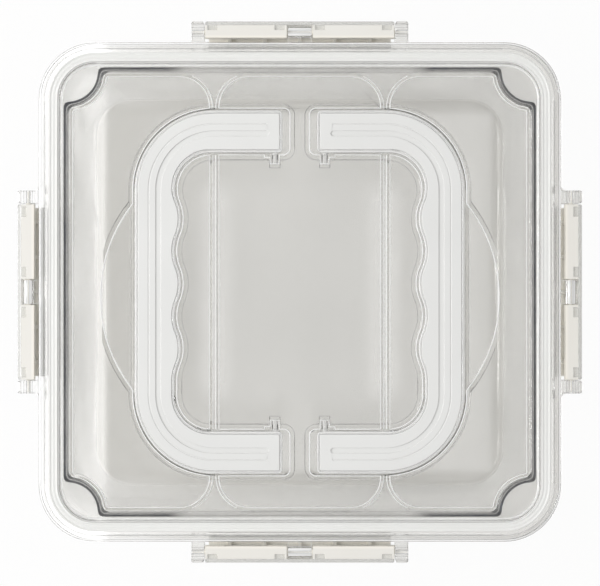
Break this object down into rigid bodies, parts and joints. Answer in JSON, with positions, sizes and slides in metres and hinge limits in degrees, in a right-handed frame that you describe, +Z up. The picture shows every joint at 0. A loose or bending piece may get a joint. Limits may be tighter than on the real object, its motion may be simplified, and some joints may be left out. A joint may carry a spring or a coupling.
{
  "type": "food storage container",
  "caption": "Clear, nearly square food keeper with a sealed lid, side latches and carry handles that fold into the lid.",
  "frame": {"origin": "centre of the underside, on the surface the keeper stands on", "axes": "+Z up, +X right and +Y back as the picture shows the lid from above; the handles hinge along Y"},
  "size_m": [0.2546, 0.2442, 0.1254],
  "materials": {
    "clear_plastic": "polished clear",
    "white_plastic": "satin",
    "ivory_plastic": "satin",
    "silicone": "soft matt"
  },
  "bodies": {
    "tub": {"tub": "clear_plastic"},
    "lid": {"lid": "clear_plastic", "seal": "silicone", "pin_back": "ivory_plastic", "pin_front": "ivory_plastic", "pin_left": "ivory_plastic", "pin_right": "ivory_plastic"},
    "handle_left": {"handle_left": "clear_plastic", "inlay_left": "white_plastic"},
    "handle_right": {"handle_right": "clear_plastic", "inlay_right": "white_plastic"},
    "latch_back": {"latch_back": "ivory_plastic", "cover_back": "clear_plastic"},
    "latch_front": {"latch_front": "ivory_plastic", "cover_front": "clear_plastic"},
    "latch_left": {"latch_left": "ivory_plastic", "cover_left": "clear_plastic"},
    "latch_right": {"latch_right": "ivory_plastic", "cover_right": "clear_plastic"}
  },
  "joints": [
    {"name": "lid_lift", "type": "slide", "parent": "tub", "child": "lid", "axis": [0, 0, 1], "range_m": [0, 0.15]},
    {"name": "handle_left_hinge", "type": "hinge", "parent": "lid", "child": "handle_left", "pos_m": [-0.0113, 0, 0.1148], "axis": [0, 1, 0], "range_deg": [0, 95]},
    {"name": "handle_right_hinge", "type": "hinge", "parent": "lid", "child": "handle_right", "pos_m": [0.0113, 0, 0.1148], "axis": [0, -1, 0], "range_deg": [0, 95]},
    {"name": "latch_back_hinge", "type": "hinge", "parent": "lid", "child": "latch_back", "pos_m": [0, 0.1174, 0.1204], "axis": [1, 0, 0], "range_deg": [0, 100]},
    {"name": "latch_front_hinge", "type": "hinge", "parent": "lid", "child": "latch_front", "pos_m": [0, -0.1174, 0.1204], "axis": [-1, 0, 0], "range_deg": [0, 100]},
    {"name": "latch_left_hinge", "type": "hinge", "parent": "lid", "child": "latch_left", "pos_m": [-0.1226, 0, 0.1204], "axis": [0, 1, 0], "range_deg": [0, 100]},
    {"name": "latch_right_hinge", "type": "hinge", "parent": "lid", "child": "latch_right", "pos_m": [0.1226, 0, 0.1204], "axis": [0, -1, 0], "range_deg": [0, 100]}
  ]
}
